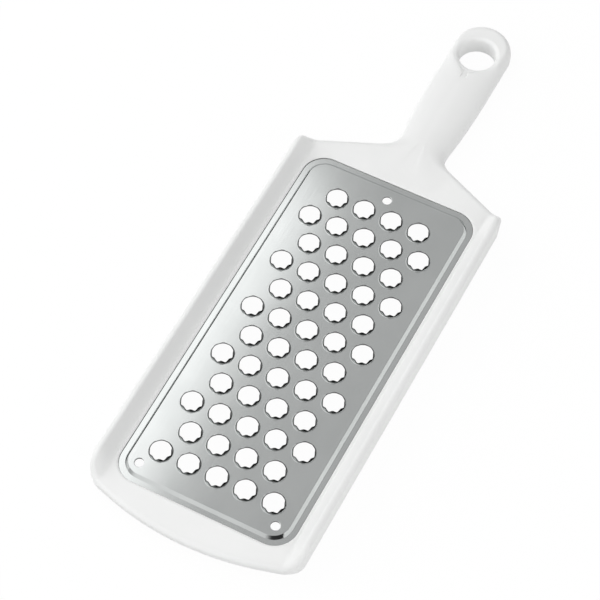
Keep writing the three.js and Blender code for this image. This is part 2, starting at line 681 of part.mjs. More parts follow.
function makeGratingPlate() {
  const skin = new Skin();
  const flangeUnder = FLANGE_HEIGHT - PLATE_THICKNESS;
  const panelTop = skin.ring(roundedRectangle(PANEL, 0), PANEL_TOP);
  const panelUnder = skin.ring(roundedRectangle(PANEL, -STEP_UNDERCUT), PANEL_TOP - PLATE_THICKNESS);
  const flange = roundedRectangle(WINDOW, FLANGE_GRIP);
  skin.chain([
    panelTop,
    skin.ring(roundedRectangle(PANEL, STEP_RUN), FLANGE_HEIGHT),
    skin.ring(flange, FLANGE_HEIGHT),
    skin.ring(flange, flangeUnder),
    skin.ring(roundedRectangle(PANEL, STEP_RUN - STEP_UNDERCUT), flangeUnder),
    panelUnder,
  ]);
  const holes = [
    ...crownPlaces().map((place) => crownRings(skin, place)),
    ...pilotPlaces().map((place) => pilotRings(skin, place)),
  ];
  skin.sheet(panelTop, holes.map((h) => h.top), true);
  skin.sheet(panelUnder, holes.map((h) => h.under), false);
  let plate = toSolid(indexedGeometry(skin.positions, skin.faces));
  ringPins().forEach(([x, y]) => {
    plate = plate.subtract(rod(x, y, PIN_DIAMETER + 2 * PIN_GAP, CUT_START, FACE_HEIGHT));
  });
  return namedMesh('grating_plate', plate, steel);
}

// The origin is under the middle of the whole length
const grater = new THREE.Group();
grater.position.y = LIP_REACH - OVERALL_LENGTH / 2;
grater.add(makeFrontFrame(), makeGratingPlate(), makeBackFrame());

export default grater;
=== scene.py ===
"""Flat hand grater: finely shaped frame, stamped steel plate and back frame, in a white studio."""
import math

import bmesh
import bpy
import numpy as np
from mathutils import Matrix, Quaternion, Vector
from mathutils.geometry import delaunay_2d_cdt


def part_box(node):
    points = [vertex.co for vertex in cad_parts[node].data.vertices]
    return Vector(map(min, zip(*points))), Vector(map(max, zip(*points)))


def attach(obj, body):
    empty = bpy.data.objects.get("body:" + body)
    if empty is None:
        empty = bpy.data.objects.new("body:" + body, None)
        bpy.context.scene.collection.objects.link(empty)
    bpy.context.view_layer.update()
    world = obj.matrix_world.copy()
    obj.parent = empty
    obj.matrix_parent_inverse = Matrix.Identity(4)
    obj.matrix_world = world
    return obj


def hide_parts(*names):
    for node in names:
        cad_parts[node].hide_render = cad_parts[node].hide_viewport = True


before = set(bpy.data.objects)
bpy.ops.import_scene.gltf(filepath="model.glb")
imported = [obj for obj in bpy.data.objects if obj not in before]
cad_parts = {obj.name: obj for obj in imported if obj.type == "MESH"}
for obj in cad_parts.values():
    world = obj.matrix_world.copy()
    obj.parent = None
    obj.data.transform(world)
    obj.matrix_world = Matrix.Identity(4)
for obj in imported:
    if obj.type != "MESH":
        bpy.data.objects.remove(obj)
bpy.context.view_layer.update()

MM = 0.001

# Crowned holes of the plate, in millimetres
HOLE_PITCH = 12
ROW_COUNT = 12
HOLES_IN_FIRST_ROW = 5
HOLES_IN_SECOND_ROW = 4
CROWN_TEETH = 8
CROWN_BASE_RADIUS = 4.65
CROWN_RIM_RADIUS = 4.3
CROWN_WALL = 0.3
CROWN_HEIGHT = 1.25
CROWN_NOTCH_FLOOR = 0.35
CROWN_BEND = 0.15
CROWN_BEND_FADE = 0.075
TOOTH_TOP_ANGLE = math.radians(8)
FLAT_RIM = 0.1
PILOT_DIAMETER = 3.7
PILOT_FROM_HANDLE_END = 5.3
PILOT_FROM_LIP_END = 4.7
PILOT_FROM_SIDE = 5.2
PILOT_ROUND = 0.15
PILOT_ROUND_MIDDLE = 0.3

# Plate: raised panel, step and flange
PLATE_THICKNESS = 0.6
PANEL_SIDE_MARGIN = 10
PANEL_HANDLE_MARGIN = 13.7
PANEL_LIP_MARGIN = 12.5
PANEL_CORNER = 6.8
PANEL_RISE = 1.25
STEP_RUN = 0.8
STEP_START = -0.2
STEP_SLOPE = math.radians(47)
STEP_ROUND = 0.12
STEP_FOOT_ROUND = 0.05
# Width of the strip of painted shade on the flange inside the frame's window edge
SEAM_WIDTH = 0.13
FLANGE_HEIGHT = 8.6
FLANGE_SHOWING = 2.5
FLANGE_GRIP = 4.5
SEAT_GAP = 0.2
SIDE_GAP = 0.3

# Frame in plan
RAIL_WIDTH = 7.2
LIP_DEPTH = 13.2
LIP_RADIUS = 120
LIP_CORNER = 9
SHOULDER_MARGIN = 3.9
SHOULDER_SLOPE = 0.431
SHOULDER_CORNER = 6
NECK_RADIUS = 9
NECK_FROM_SHOULDER = 18.1
NECK_WIDTH = 20.4
NECK_FLARE = 0.09
HANDLE_WIDTH = 24.6
HANDLE_END_LENGTH = 32
HANG_HOLE_FROM_TIP = 16.5
HANG_HOLE_DIAMETER = 15.4

# Frame in height
FACE_HEIGHT = 9.4
RAIL_HEIGHT = 15.1
LIP_THICKNESS = 4.4
HANDLE_TOP = 10.2
TIP_TOP = 9.4
TAPER_FROM_LIP = 4
RAIL_TAPER_LENGTH = 15
SKIRT_TAPER_LENGTH = 12
RAIL_END_BEFORE_SHOULDER = 8
RAIL_END_LENGTH = 8.6

# Rounding of the frame's edges
DOME_SHARE = 0.9
TIP_ROUND = 2.7
HOLE_ROUND = 1.9
KEYHOLE_START = 2
KEYHOLE_LENGTH = 11
HANDLE_EDGE_DROP = 4.6
HANDLE_EDGE_LIFT = 3.6
HANDLE_UNDER_ROUND = 4.0
TIP_UNDER_ROUND = 2.7
WINDOW_EDGE_INSET = 0.9
WINDOW_EDGE_DROP = 0.5
WALL_ROUND_TOP = 0.25
WALL_ROUND_FOOT = 0.28

# Back frame and stake pins
RING_THICKNESS = 2.4
RING_SETBACK = 0.4
WALL_THICKNESS = 2.4
COVER_THICKNESS = 2.4
COVER_RIM = 5.2
COVER_LEDGE = 1.2
COVER_END_MARGIN = 4
ROOF_THICKNESS = 2.5
BACK_BEVEL = 0.35
PIN_DIAMETER = 2.2
PIN_HEAD_DIAMETER = 3.6
PIN_HEAD_HEIGHT = 0.8
PIN_HEAD_BRIM = 0.15
PIN_HEAD_CHAMFER = 0.1
PIN_DOME_ANGLE = math.radians(75)
PIN_GAP = 0.3
PINS_PER_SIDE = 4
PIN_SPACING_SIDE = 40
PIN_SPACING_END = 40
COVER_PIN_FROM_END = 12

# How finely the curves are divided
LIP_STEPS = 16
CORNER_STEPS = 12
TAPER_STEPS = 8
SIDE_STEPS = 14
END_STEPS = 10
SLOPE_STEPS = 16
NECK_STEPS = 12
NECK_HALF_STEPS = 4
HANDLE_STEPS = 22
CHEEK_STEPS = 16
TIP_STEPS = 20
EDGE_ROWS = 12
WALL_ROWS = 22
RIM_ROWS = 6
CROWN_STEPS = 12
CROWN_ROWS = 7
STEP_ROWS = 4
PIN_SIDES = 24
PIN_DOME_ROWS = 7
RISE_SAMPLES = 401
SLOPE_CROWDING = 1.6
LEAST_TAPER_SPACING = 0.5

# How the meshes are finished
WELD_DISTANCE = 0.002
SHEET_MERGE_DISTANCE = 1e-6
SHEET_INSIDE_ONLY = 1
BEVEL_SEGMENTS = 2
BEVEL_ANGLE = math.radians(40)
FRAME_SHARP_ANGLE = math.radians(32)
PIN_SHARP_ANGLE = math.radians(40)
BACK_SHARP_ANGLE = math.radians(35)
PLATE_SHARP_ANGLE = math.radians(40)

# Heights and places that follow from the sizes above
PANEL_TOP = FLANGE_HEIGHT + PANEL_RISE
PANEL_UNDER = PANEL_TOP - PLATE_THICKNESS
FLANGE_UNDER = FLANGE_HEIGHT - PLATE_THICKNESS
BEZEL_UNDER = FLANGE_HEIGHT + SEAT_GAP
RING_TOP = FLANGE_UNDER - SEAT_GAP
RING_BOTTOM = RING_TOP - RING_THICKNESS
LIP_BOTTOM = FACE_HEIGHT - LIP_THICKNESS
ROOF = FACE_HEIGHT - ROOF_THICKNESS
LAST_ROW_Y = HOLE_PITCH * (ROW_COUNT - 1) / 2
PANEL_X = HOLE_PITCH * (HOLES_IN_FIRST_ROW - 1) / 2 + PANEL_SIDE_MARGIN
PANEL_LOW = -LAST_ROW_Y - PANEL_LIP_MARGIN
PANEL_HIGH = LAST_ROW_Y + PANEL_HANDLE_MARGIN
WINDOW_X = PANEL_X + STEP_RUN + FLANGE_SHOWING
WINDOW_LOW = PANEL_LOW - STEP_RUN - FLANGE_SHOWING
WINDOW_HIGH = PANEL_HIGH + STEP_RUN + FLANGE_SHOWING
WINDOW_CORNER = PANEL_CORNER + FLANGE_SHOWING
PANEL = (PANEL_X, PANEL_LOW, PANEL_HIGH, PANEL_CORNER)
WINDOW = (WINDOW_X, WINDOW_LOW, WINDOW_HIGH, WINDOW_CORNER)
HALF_WIDTH = WINDOW_X + RAIL_WIDTH
LIP_REACH = LIP_DEPTH - WINDOW_LOW
SHOULDER_SIDE_Y = WINDOW_HIGH + SHOULDER_MARGIN
NECK_Y = SHOULDER_SIDE_Y + NECK_FROM_SHOULDER
FRAME_LOW, FRAME_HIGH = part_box("front_frame")
ORIGIN_Y = FRAME_LOW.y / MM + LIP_REACH
TIP_REACH = FRAME_HIGH.y / MM - ORIGIN_Y
HANDLE_WIDE_Y = TIP_REACH - HANDLE_END_LENGTH
HANG_HOLE_Y = TIP_REACH - HANG_HOLE_FROM_TIP
COVER_END_Y = HANDLE_WIDE_Y - COVER_END_MARGIN
TAPER_END_Y = TAPER_FROM_LIP - LIP_REACH
RAIL_END_START = WINDOW_HIGH - WINDOW_CORNER
WALL_Y = WINDOW_HIGH + FLANGE_GRIP + SIDE_GAP
PIN_OUT = (RING_SETBACK + FLANGE_GRIP) / 2
CUT_START = -1.0

# An edge of the frame without the rail's own rise: top, drop and inset of the upper rounding, bottom, lift
# and inset of the lower one, and how far the wall leans out at the top and at the bottom
EDGE_TOP, EDGE_INSET, EDGE_LEAN = 0, 2, 6
LIP_EDGE = np.array([FACE_HEIGHT, 1.6, 2.2, LIP_BOTTOM, 1.2, 1.6, 0, 0])
RAIL_EDGE = np.array([FACE_HEIGHT, 2.0, 2.1, 0, 3.0, 1.5, 1.2, 0])
SHOULDER_EDGE = np.array([FACE_HEIGHT, 2.0, 2.2, 0, 1.5, 1.5, 0, 0])
RAIL_FOOT = WINDOW_X + WINDOW_EDGE_INSET
RAIL_CREST = HALF_WIDTH + RAIL_EDGE[EDGE_LEAN] - RAIL_EDGE[EDGE_INSET]


# Curves in plan, each without its last point, so that they can be chained
def line(a, b, steps):
    t = np.arange(steps)[:, None] / steps
    return np.asarray(a) * (1 - t) + np.asarray(b) * t


def arc(centre, radius, start, end, steps):
    angle = start + (end - start) * np.arange(steps) / steps
    return np.asarray(centre) + radius * np.column_stack([np.cos(angle), np.sin(angle)])


def bezier(a, b, c, steps):
    t = np.arange(steps)[:, None] / steps
    return np.asarray(a) * (1 - t) ** 2 + 2 * np.asarray(b) * t * (1 - t) + np.asarray(c) * t ** 2


def smooth(t):
    t = np.clip(t, 0, 1)
    return t * t * (3 - 2 * t)


def mirrored(points):
    return (points * [-1, 1])[::-1]


def rounded_rectangle(rect, margin):
    """Points round a rectangle with round corners, grown by a margin, anticlockwise."""
    x, low, high, corner = rect
    radius = corner + margin
    x, low, high = x - corner, low + corner, high - corner
    quarter = math.pi / 2
    corners = []
    for i, centre in enumerate([(x, low), (x, high), (-x, high), (-x, low)]):
        start = (i - 1) * quarter
        end = start + quarter * (1 + 1 / CORNER_STEPS)
        corners.append(arc(centre, radius, start, end, CORNER_STEPS + 1))
    return np.vstack(corners)


def mix(a, b, top_share, bottom_share):
    """Edges between two others, the upper and the lower rounding each by its own share."""
    share = np.column_stack([top_share] * 3 + [bottom_share] * 3 + [top_share, bottom_share])
    return a * (1 - share) + b * share


# Height of the rails over the flat face
def wall_rise(share):
    """Rise of a rail's inner wall: hollow at the foot, straight, and round at the crest."""
    steps = np.linspace(0, 1, RISE_SAMPLES)
    slope = np.minimum(smooth(steps / WALL_ROUND_FOOT), smooth((1 - steps) / WALL_ROUND_TOP))
    rise = np.concatenate([[0], np.cumsum((slope[1:] + slope[:-1]) / 2)])
    return np.interp(share, steps, rise / rise[-1])


def rail_end(y):
    """Share of the rail's height near its end at the shoulder: a quarter of an ellipse."""
    past = (y - SHOULDER_SIDE_Y + RAIL_END_BEFORE_SHOULDER) / RAIL_END_LENGTH
    return np.sqrt(1 - np.clip(past, 0, 1) ** 2)


def rail_rise(points):
    """Straight rails along both sides, with a long slope to the lip and a round end at the shoulder."""
    wall = wall_rise((np.abs(points[:, 0]) - RAIL_FOOT) / (RAIL_CREST - RAIL_FOOT))
    slope = smooth((points[:, 1] - TAPER_END_Y) / RAIL_TAPER_LENGTH)
    return (RAIL_HEIGHT - FACE_HEIGHT) * wall * slope * rail_end(points[:, 1])


# Outline of the frame: half of it from the middle of the lip to the tip of the handle
def lip_stations():
    centre = np.array([0, LIP_RADIUS - LIP_REACH])
    x = HALF_WIDTH - LIP_CORNER
    corner = np.array([x, centre[1] - math.sqrt((LIP_RADIUS - LIP_CORNER) ** 2 - x ** 2)])
    turn = math.atan2(corner[1] - centre[1], x)
    rail_full = (HALF_WIDTH, TAPER_END_Y + RAIL_TAPER_LENGTH)
    points = np.vstack([
        arc(centre, LIP_RADIUS, -math.pi / 2, turn, LIP_STEPS),
        arc(corner, LIP_CORNER, turn, 0, CORNER_STEPS),
        line((HALF_WIDTH, corner[1]), rail_full, TAPER_STEPS),
        line(rail_full, (HALF_WIDTH, RAIL_END_START), SIDE_STEPS),
    ])
    past = points[:, 1] - TAPER_END_Y
    top_share, bottom_share = smooth(past / RAIL_TAPER_LENGTH), smooth(past / SKIRT_TAPER_LENGTH)
    return points, mix(LIP_EDGE, RAIL_EDGE, top_share, bottom_share)


def neck_fillet():
    """Start, end and points of the hollow fillet between the sloping shoulder and the handle."""
    slope = math.atan(SHOULDER_SLOPE)
    turn = math.pi / 2 - slope + math.atan(NECK_FLARE)
    slope_at_middle = SHOULDER_SIDE_Y + SHOULDER_SLOPE * HALF_WIDTH
    half_at_middle = NECK_WIDTH / 2 + NECK_FLARE * (slope_at_middle - NECK_Y)
    meet_x = half_at_middle / (1 + NECK_FLARE * SHOULDER_SLOPE)
    meet = np.array([meet_x, slope_at_middle - SHOULDER_SLOPE * meet_x])
    reach = NECK_RADIUS * math.tan(turn / 2)
    start = meet + reach * np.array([math.cos(slope), -math.sin(slope)])
    flare = math.atan(NECK_FLARE)
    end = meet + reach * np.array([math.sin(flare), math.cos(flare)])
    centre = start + NECK_RADIUS * np.array([math.sin(slope), math.cos(slope)])
    first = -math.pi / 2 - slope
    return start, end, arc(centre, NECK_RADIUS, first, first - turn, NECK_STEPS)


def handle_edges(points):
    """Edges of the handle: one dome across it, which parts round the hang hole."""
    past = points[:, 1] - HANDLE_WIDE_Y - KEYHOLE_START
    share = smooth(past / KEYHOLE_LENGTH)
    inset = points[:, 0] * DOME_SHARE * (1 - share) + TIP_ROUND * share
    top = HANDLE_TOP + (TIP_TOP - HANDLE_TOP) * share
    under = HANDLE_UNDER_ROUND + (TIP_UNDER_ROUND - HANDLE_UNDER_ROUND) * share
    ones = np.ones(len(points))
    upper_edge = [top, HANDLE_EDGE_DROP * ones, inset]
    lower_edge = [0 * ones, HANDLE_EDGE_LIFT * ones, under]
    return np.column_stack(upper_edge + lower_edge + [0 * ones, 0 * ones])


def shoulder_stations(neck_start, neck_points):
    turn = math.pi / 2 - math.atan(SHOULDER_SLOPE)
    corner_y = SHOULDER_SIDE_Y - SHOULDER_CORNER * math.tan(turn / 2)
    corner = np.array([HALF_WIDTH - SHOULDER_CORNER, corner_y])
    rail = line((HALF_WIDTH, RAIL_END_START), (HALF_WIDTH, corner_y), END_STEPS)
    bend = arc(corner, SHOULDER_CORNER, 0, turn, CORNER_STEPS)
    slope_start = corner + SHOULDER_CORNER * np.array([math.cos(turn), math.sin(turn)])
    share = (np.arange(SLOPE_STEPS) / SLOPE_STEPS) ** SLOPE_CROWDING
    sloping = slope_start + np.outer(share, neck_start - slope_start)
    end = np.vstack([rail, bend])
    share = 1 - rail_end(end[:, 1])
    end_edges = mix(RAIL_EDGE, SHOULDER_EDGE, share, share)
    share = smooth(np.arange(NECK_STEPS) / NECK_STEPS)
    neck_edges = mix(SHOULDER_EDGE, handle_edges(neck_points), share, share)
    points = np.vstack([end, sloping, neck_points])
    return points, np.vstack([end_edges, np.tile(SHOULDER_EDGE, (SLOPE_STEPS, 1)), neck_edges])


def handle_stations(neck_end):
    radius = HANDLE_WIDTH / 2
    wide = (radius, HANDLE_WIDE_Y)
    cheek_end = (radius, TIP_REACH - radius)
    swell = (radius, (neck_end[1] + HANDLE_WIDE_Y) / 2)
    points = np.vstack([
        bezier(neck_end, swell, wide, HANDLE_STEPS),
        line(wide, cheek_end, CHEEK_STEPS),
        arc((0, cheek_end[1]), radius, 0, math.pi / 2, TIP_STEPS),
        [(0, TIP_REACH)],
    ])
    return points, handle_edges(points)


def frame_stations():
    """Points, edges and inward directions all round the frame, anticlockwise from the middle of the lip."""
    neck_start, neck_end, neck_points = neck_fillet()
    parts = [lip_stations(), shoulder_stations(neck_start, neck_points), handle_stations(neck_end)]
    points = np.vstack([p for p, _ in parts])
    edges = np.vstack([e for _, e in parts])
    points = np.vstack([points, mirrored(points[1:-1])])
    edges = np.vstack([edges, edges[1:-1][::-1]])
    along = np.roll(points, -1, axis=0) - np.roll(points, 1, axis=0)
    along /= np.linalg.norm(along, axis=1)[:, None]
    inward = np.column_stack([-along[:, 1], along[:, 0]])
    inset = edges[:, EDGE_INSET] - edges[:, EDGE_LEAN]
    edges[:, EDGE_TOP] += rail_rise(points + inward * inset[:, None])
    return points, edges, inward


SLOPE_FIRST = LIP_STEPS + CORNER_STEPS + TAPER_STEPS + SIDE_STEPS + END_STEPS + CORNER_STEPS
NECK_FIRST = SLOPE_FIRST + SLOPE_STEPS + NECK_STEPS


class Shell:
    """A closed body drawn as quads in plan, each corner with a point on top and one underneath."""

    def __init__(self):
        self.top = []
        self.under = []
        self.quads = []

    def row(self, top, under):
        first = len(self.top)
        self.top.extend(map(tuple, top))
        self.under.extend(map(tuple, under))
        return list(range(first, len(self.top)))

    def bridge(self, first, second, closed=True):
        count = len(first) if closed else len(first) - 1
        for i in range(count):
            n = (i + 1) % len(first)
            self.quads.append((first[i], first[n], second[n], second[i]))

    def extend(self, last, top, under):
        """A closed row joined to the one before it."""
        new = self.row(top, under)
        self.bridge(last, new)
        return new

    def faces(self):
        below = len(self.top)
        faces = []
        sides = set()
        for quad in self.quads:
            faces.append(quad)
            faces.append(tuple(i + below for i in reversed(quad)))
            sides.update((quad[k], quad[(k + 1) % 4]) for k in range(4))
        for a, b in sides:
            if (b, a) not in sides:
                faces.append((b, a, a + below, b + below))
        return faces

    def points(self):
        return self.top + self.under


def window_points(margin):
    """Points round the window that face the outline's stations, from the middle of the lip."""
    x, low, high, corner = WINDOW
    quarter = math.pi / 2
    lower = np.array([x - corner, low + corner])
    upper = np.array([x - corner, high - corner])
    radius = corner + margin
    side = x + margin
    taper_end = (lower[1] + TAPER_END_Y + RAIL_TAPER_LENGTH) / 2
    side_turn = (side, max(taper_end, lower[1] + TAPER_STEPS * LEAST_TAPER_SPACING))
    half = np.vstack([
        line((0, low - margin), (lower[0], low - margin), LIP_STEPS),
        arc(lower, radius, -quarter, 0, CORNER_STEPS),
        line((side, lower[1]), side_turn, TAPER_STEPS),
        line(side_turn, (side, upper[1]), SIDE_STEPS),
        arc(upper, radius, 0, quarter, END_STEPS + CORNER_STEPS),
        line((upper[0], high + margin), (0, high + margin), SLOPE_STEPS + NECK_STEPS + NECK_HALF_STEPS),
        [(0, high + margin)],
    ])
    return np.vstack([half, mirrored(half[1:-1])])


def with_height(points, height):
    return np.column_stack([points, np.broadcast_to(height, len(points))])


def edge_rows(shell, points, edges, inward):
    """Rows from the outline inwards over the rounded edges."""
    top, drop, inset, bottom, lift, lower_inset, lean_top, lean_bottom = edges.T
    rows = []
    for angle in np.linspace(0, math.pi / 2, EDGE_ROWS + 1):
        turn, rise = 1 - math.cos(angle), 1 - math.sin(angle)
        above = points + inward * (inset * turn - lean_top)[:, None]
        below = points + inward * (lower_inset * turn - lean_bottom)[:, None]
        upper_row = with_height(above, top - drop * rise)
        rows.append(shell.row(upper_row, with_height(below, bottom + lift * rise)))
    for first, second in zip(rows, rows[1:]):
        shell.bridge(first, second)
    return rows[-1]


def row_across(shell, right, left):
    """Corners across the handle between two stations."""
    t = np.arange(1, 2 * NECK_HALF_STEPS)[:, None] / (2 * NECK_HALF_STEPS)
    sides = [np.array(points) for points in (shell.top, shell.under)]
    between = [points[right] * (1 - t) + points[left] * t for points in sides]
    return [right] + shell.row(*between) + [left]


def window_rows(shell, outer):
    """Rows from the edges to the window: the rails' inner walls, the flat face and its round edge."""
    start = np.array([shell.top[i] for i in outer])
    under = np.array([shell.under[i] for i in outer])
    end = window_points(WINDOW_EDGE_INSET)
    over = start[:, 2] - rail_rise(start) - FACE_HEIGHT
    last = outer
    for share in np.arange(1, WALL_ROWS + 1) / WALL_ROWS:
        plan = start[:, :2] * (1 - share) + end * share
        height = FACE_HEIGHT + over * (1 - smooth(share)) + rail_rise(plan)
        below = under[:, :2] * (1 - share) + end * share
        last = shell.extend(last, with_height(plan, height), with_height(below, under[:, 2]))
    for angle in np.linspace(0, math.pi / 2, RIM_ROWS + 1)[1:]:
        plan = window_points(WINDOW_EDGE_INSET * (1 - math.sin(angle)))
        height = FACE_HEIGHT - WINDOW_EDGE_DROP * (1 - math.cos(angle))
        last = shell.extend(last, with_height(plan, height), with_height(plan, under[:, 2]))


def hole_rows(shell, around):
    """Rows from the ridge round the hang hole into the hole."""
    start = np.array([shell.top[i] for i in around])
    under = np.array([shell.under[i] for i in around])
    angle = np.arctan2(start[:, 1] - HANG_HOLE_Y, start[:, 0])
    direction = np.column_stack([np.cos(angle), np.sin(angle)])
    centre = np.array([0, HANG_HOLE_Y])
    ring = centre + direction * (HANG_HOLE_DIAMETER / 2 + HOLE_ROUND)
    last = around
    for share in np.arange(1, RIM_ROWS + 1) / RIM_ROWS:
        plan = start[:, :2] * (1 - share) + ring * share
        height = start[:, 2] + (TIP_TOP - start[:, 2]) * smooth(share)
        last = shell.extend(last, with_height(plan, height), with_height(plan, under[:, 2]))
    for turn in np.linspace(0, math.pi / 2, EDGE_ROWS + 1)[1:]:
        plan = centre + direction * (HANG_HOLE_DIAMETER / 2 + HOLE_ROUND * (1 - math.sin(turn)))
        fall = HOLE_ROUND * (1 - math.cos(turn))
        last = shell.extend(last, with_height(plan, TIP_TOP - fall), with_height(plan, fall))


def frame_shell():
    shell = Shell()
    points, edges, inward = frame_stations()
    count = len(points)
    inner = edge_rows(shell, points, edges, inward)
    across = []
    for i in range(NECK_FIRST, NECK_FIRST + HANDLE_STEPS + 1):
        across.append(row_across(shell, inner[i], inner[count - i]))
    for first, second in zip(across, across[1:]):
        shell.bridge(second, first, closed=False)
    window_rows(shell, inner[:NECK_FIRST] + across[0] + inner[count - NECK_FIRST + 1:])
    wide = NECK_FIRST + HANDLE_STEPS
    hole_rows(shell, inner[wide:count - wide] + across[-1][:0:-1])
    return shell.points(), shell.faces()


# Objects
def linked(name, data):
    """A new object in the scene."""
    obj = bpy.data.objects.new(name, data)
    bpy.context.scene.collection.objects.link(obj)
    return obj


def new_object(name, points, faces):
    """A mesh object from points in millimetres about the middle of the rows of holes."""
    placed = (np.asarray(points, float) + [0, ORIGIN_Y, 0]) * MM
    mesh = bpy.data.meshes.new(name)
    mesh.from_pydata(placed.tolist(), [], faces)
    return linked(name, mesh)


def prism(points, low, high):
    count = len(points)
    corners = np.vstack([with_height(points, low), with_height(points, high)])
    faces = [tuple(reversed(range(count))), tuple(range(count, 2 * count))]
    faces += [(i, (i + 1) % count, (i + 1) % count + count, i + count) for i in range(count)]
    return new_object("cutter", corners, faces)


def rod(x, y, diameter, low, high):
    return prism(arc((x, y), diameter / 2, 0, 2 * math.pi, PIN_SIDES), low, high)


def apply_modifiers(obj):
    graph = bpy.context.evaluated_depsgraph_get()
    mesh = bpy.data.meshes.new_from_object(obj.evaluated_get(graph))
    obj.modifiers.clear()
    obj.data = mesh


def combine(obj, other, operation):
    """Joins or cuts obj with another body, which is used up."""
    modifier = obj.modifiers.new("combine", "BOOLEAN")
    modifier.operation = operation
    modifier.solver = "EXACT"
    modifier.object = other
    apply_modifiers(obj)
    bpy.data.objects.remove(other)


def bevel(obj, width):
    modifier = obj.modifiers.new("bevel", "BEVEL")
    modifier.width = width * MM
    modifier.segments = BEVEL_SEGMENTS
    modifier.limit_method = "ANGLE"
    modifier.angle_limit = BEVEL_ANGLE
    apply_modifiers(obj)


def clean(obj):
    """Welds points that coincide, dissolves slivers and turns all faces outwards."""
    body = bmesh.new()
    body.from_mesh(obj.data)
    bmesh.ops.remove_doubles(body, verts=body.verts, dist=WELD_DISTANCE * MM)
    bmesh.ops.dissolve_degenerate(body, edges=body.edges, dist=WELD_DISTANCE * MM)
    bmesh.ops.recalc_face_normals(body, faces=body.faces)
    body.to_mesh(obj.data)
    body.free()


def finish_piece(obj, material, node, sharp_angle):
    obj.data.materials.clear()
    obj.data.materials.append(material)
    obj.data.polygons.foreach_set("use_smooth", [True] * len(obj.data.polygons))
    obj.data.set_sharp_from_angle(angle=sharp_angle)
    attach(obj, "root")
    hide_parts(node)


# Front frame with the hollows of its underside
def cover_outline(rim, start_y):
    """Outline of the cover under the shoulder and handle, inside the frame's outline by a rim."""
    points, _, inward = frame_stations()
    inset = (points + inward * rim)[SLOPE_FIRST:]
    first = next(i for i, p in enumerate(inset) if p[1] > start_y)
    before = inset[max(first - 1, 0)]
    share = (start_y - before[1]) / (inset[first][1] - before[1]) if first else 0
    start = before * (1 - share) + inset[first] * share
    kept = [p for p in inset[first:] if p[0] > 0 and p[1] < COVER_END_Y]
    end_radius = kept[-1][0]
    half = np.vstack([start, kept, arc((0, COVER_END_Y), end_radius, 0, math.pi / 2, CORNER_STEPS)])
    return np.vstack([half, [(0, COVER_END_Y + end_radius)], mirrored(half)])


def wall_outline(gap):
    reach = cover_outline(COVER_RIM - gap, WALL_Y - gap)[0][0]
    low = WALL_Y - 2 * SIDE_GAP - gap
    high = WALL_Y + WALL_THICKNESS + gap
    return np.array([(reach, low), (reach, high), (-reach, high), (-reach, low)])


def make_front_frame(material):
    obj = new_object("front_shell", *frame_shell())
    clean(obj)
    cavity = cover_outline(COVER_RIM + COVER_LEDGE, WALL_Y + WALL_THICKNESS + SIDE_GAP)
    for cutter in (
        prism(rounded_rectangle(WINDOW, FLANGE_GRIP + SIDE_GAP), CUT_START, BEZEL_UNDER),
        prism(wall_outline(SIDE_GAP), CUT_START, RING_TOP + SIDE_GAP),
        prism(cover_outline(COVER_RIM - SIDE_GAP, WALL_Y - SIDE_GAP), CUT_START, COVER_THICKNESS + SEAT_GAP),
        prism(cavity, CUT_START, ROOF),
    ):
        combine(obj, cutter, "DIFFERENCE")
    clean(obj)
    finish_piece(obj, material, "front_frame", FRAME_SHARP_ANGLE)


# Stake pins
def ring_pins():
    places = []
    for i in range(PINS_PER_SIDE):
        y = (i - (PINS_PER_SIDE - 1) / 2) * PIN_SPACING_SIDE
        places += [(WINDOW_X + PIN_OUT, y), (-WINDOW_X - PIN_OUT, y)]
    for x in (-PIN_SPACING_END / 2, PIN_SPACING_END / 2):
        places += [(x, WINDOW_LOW - PIN_OUT), (x, WINDOW_HIGH + PIN_OUT)]
    return places


def cover_pins():
    return [(0, NECK_Y), (0, COVER_END_Y - COVER_PIN_FROM_END)]


def turned(places, profile):
    """Round bodies at several places, from a profile of radius and height that starts at the top."""
    points, faces = [], []
    angle = 2 * math.pi * np.arange(PIN_SIDES) / PIN_SIDES
    for x, y in places:
        first = len(points)
        for radius, height in profile:
            points += np.column_stack([
                x + radius * np.cos(angle), y + radius * np.sin(angle), np.full(PIN_SIDES, height)]).tolist()
        faces.append(tuple(first + i for i in range(PIN_SIDES)))
        for k in range(len(profile) - 1):
            a, b = first + k * PIN_SIDES, first + (k + 1) * PIN_SIDES
            for i in range(PIN_SIDES):
                n = (i + 1) % PIN_SIDES
                faces.append((a + i, b + i, b + n, a + n))
        last = first + (len(profile) - 1) * PIN_SIDES
        faces.append(tuple(last + i for i in reversed(range(PIN_SIDES))))
    return points, faces


def pin_profile(root, head_top):
    """Shaft and domed head of a stake pin."""
    shaft, head = PIN_DIAMETER / 2, PIN_HEAD_DIAMETER / 2
    brim = head_top - PIN_HEAD_BRIM
    swell = PIN_HEAD_HEIGHT - PIN_HEAD_BRIM
    turns = np.linspace(0, PIN_DOME_ANGLE, PIN_DOME_ROWS)
    dome = [(head * math.cos(turn), brim - swell * math.sin(turn)) for turn in turns]
    return [(shaft, root), (shaft, head_top), (head - PIN_HEAD_CHAMFER, head_top), *dome]


def make_stake_pins(material):
    ring = turned(ring_pins(), pin_profile(BEZEL_UNDER, RING_BOTTOM - SEAT_GAP))
    cover = turned(cover_pins(), pin_profile(ROOF, SEAT_GAP + PIN_HEAD_HEIGHT))
    count = len(ring[0])
    faces = ring[1] + [tuple(i + count for i in face) for face in cover[1]]
    obj = new_object("stake_pins", ring[0] + cover[0], faces)
    finish_piece(obj, material, "front_frame", PIN_SHARP_ANGLE)


